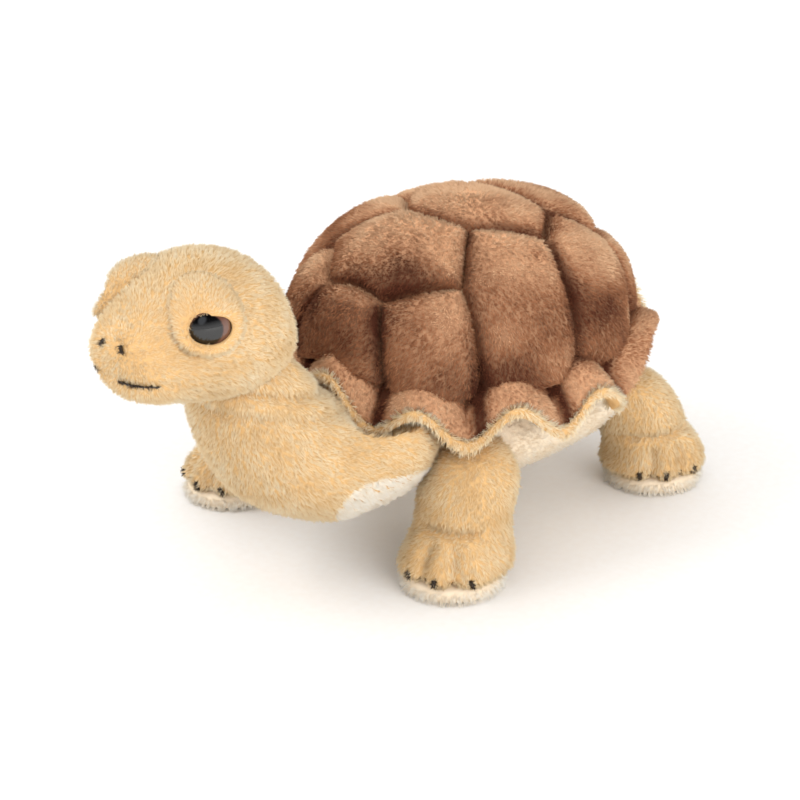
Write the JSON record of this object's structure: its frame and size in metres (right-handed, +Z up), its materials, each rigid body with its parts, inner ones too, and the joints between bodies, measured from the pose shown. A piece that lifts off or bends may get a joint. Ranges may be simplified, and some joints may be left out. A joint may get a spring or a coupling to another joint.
{
  "type": "plush turtle",
  "caption": "Stuffed plush turtle standing on its sewn legs, with a quilted domed shell, a ruffled brim and a head that nods on its neck.",
  "frame": {"origin": "middle of the toy's footprint box, on the floor under its soles", "axes": "+Z is up, the head points to -Y, and the toy's own left side is +X"},
  "size_m": [0.1272, 0.2074, 0.1105],
  "materials": {
    "tan_plush": "short tan pile with a soft sheen",
    "brown_plush": "short brown pile with a soft sheen",
    "cream_plush": "short cream pile",
    "stuffing_cover": "plain undyed woven cover, hidden inside the shell",
    "eye_plastic": "moulded and glossy, black pupil on a brown iris",
    "washer_plastic": "plain moulded lock washer, hidden inside the head"
  },
  "bodies": {
    "trunk": {"shell_core": "stuffing_cover", "scute_nape": "brown_plush", "scute_front": "brown_plush", "scute_crown": "brown_plush", "scute_back": "brown_plush", "scute_tail": "brown_plush", "scute_left_shoulder": "brown_plush", "scute_left_front_flank": "brown_plush", "scute_left_rear_flank": "brown_plush", "scute_left_hip": "brown_plush", "scute_right_shoulder": "brown_plush", "scute_right_front_flank": "brown_plush", "scute_right_rear_flank": "brown_plush", "scute_right_hip": "brown_plush", "brim_top": "brown_plush", "brim_lining": "tan_plush", "belly": "cream_plush", "neck_and_chest": "tan_plush", "tail": "tan_plush"},
    "head": {"head": "tan_plush", "eyelid_left": "tan_plush", "eyelid_right": "tan_plush", "eye_left": "eye_plastic", "eye_right": "eye_plastic", "eye_washer_left": "washer_plastic", "eye_washer_right": "washer_plastic"},
    "leg_front_left": {"leg_front_left": "tan_plush", "sole_front_left": "cream_plush"},
    "leg_front_right": {"leg_front_right": "tan_plush", "sole_front_right": "cream_plush"},
    "leg_rear_left": {"leg_rear_left": "tan_plush", "sole_rear_left": "cream_plush"},
    "leg_rear_right": {"leg_rear_right": "tan_plush", "sole_rear_right": "cream_plush"}
  },
  "joints": [
    {"name": "head_nod", "type": "hinge", "parent": "trunk", "child": "head", "pos_m": [0.00666, -0.05886, 0.078], "axis": [1, 0, 0], "range_deg": [-12, 12], "stiffness_Nm_per_rad": 0.5},
    {"name": "leg_front_left_swing", "type": "hinge", "parent": "trunk", "child": "leg_front_left", "pos_m": [0.04066, 0.00014, 0.038], "axis": [1, 0, 0], "range_deg": [-12, 12], "stiffness_Nm_per_rad": 0.6},
    {"name": "leg_front_right_swing", "type": "hinge", "parent": "trunk", "child": "leg_front_right", "pos_m": [-0.02734, 0.00014, 0.038], "axis": [1, 0, 0], "range_deg": [-12, 12], "stiffness_Nm_per_rad": 0.6},
    {"name": "leg_rear_left_swing", "type": "hinge", "parent": "trunk", "child": "leg_rear_left", "pos_m": [0.03866, 0.07414, 0.035], "axis": [1, 0, 0], "range_deg": [-12, 12], "stiffness_Nm_per_rad": 0.6},
    {"name": "leg_rear_right_swing", "type": "hinge", "parent": "trunk", "child": "leg_rear_right", "pos_m": [-0.02534, 0.07414, 0.035], "axis": [1, 0, 0], "range_deg": [-12, 12], "stiffness_Nm_per_rad": 0.6}
  ]
}
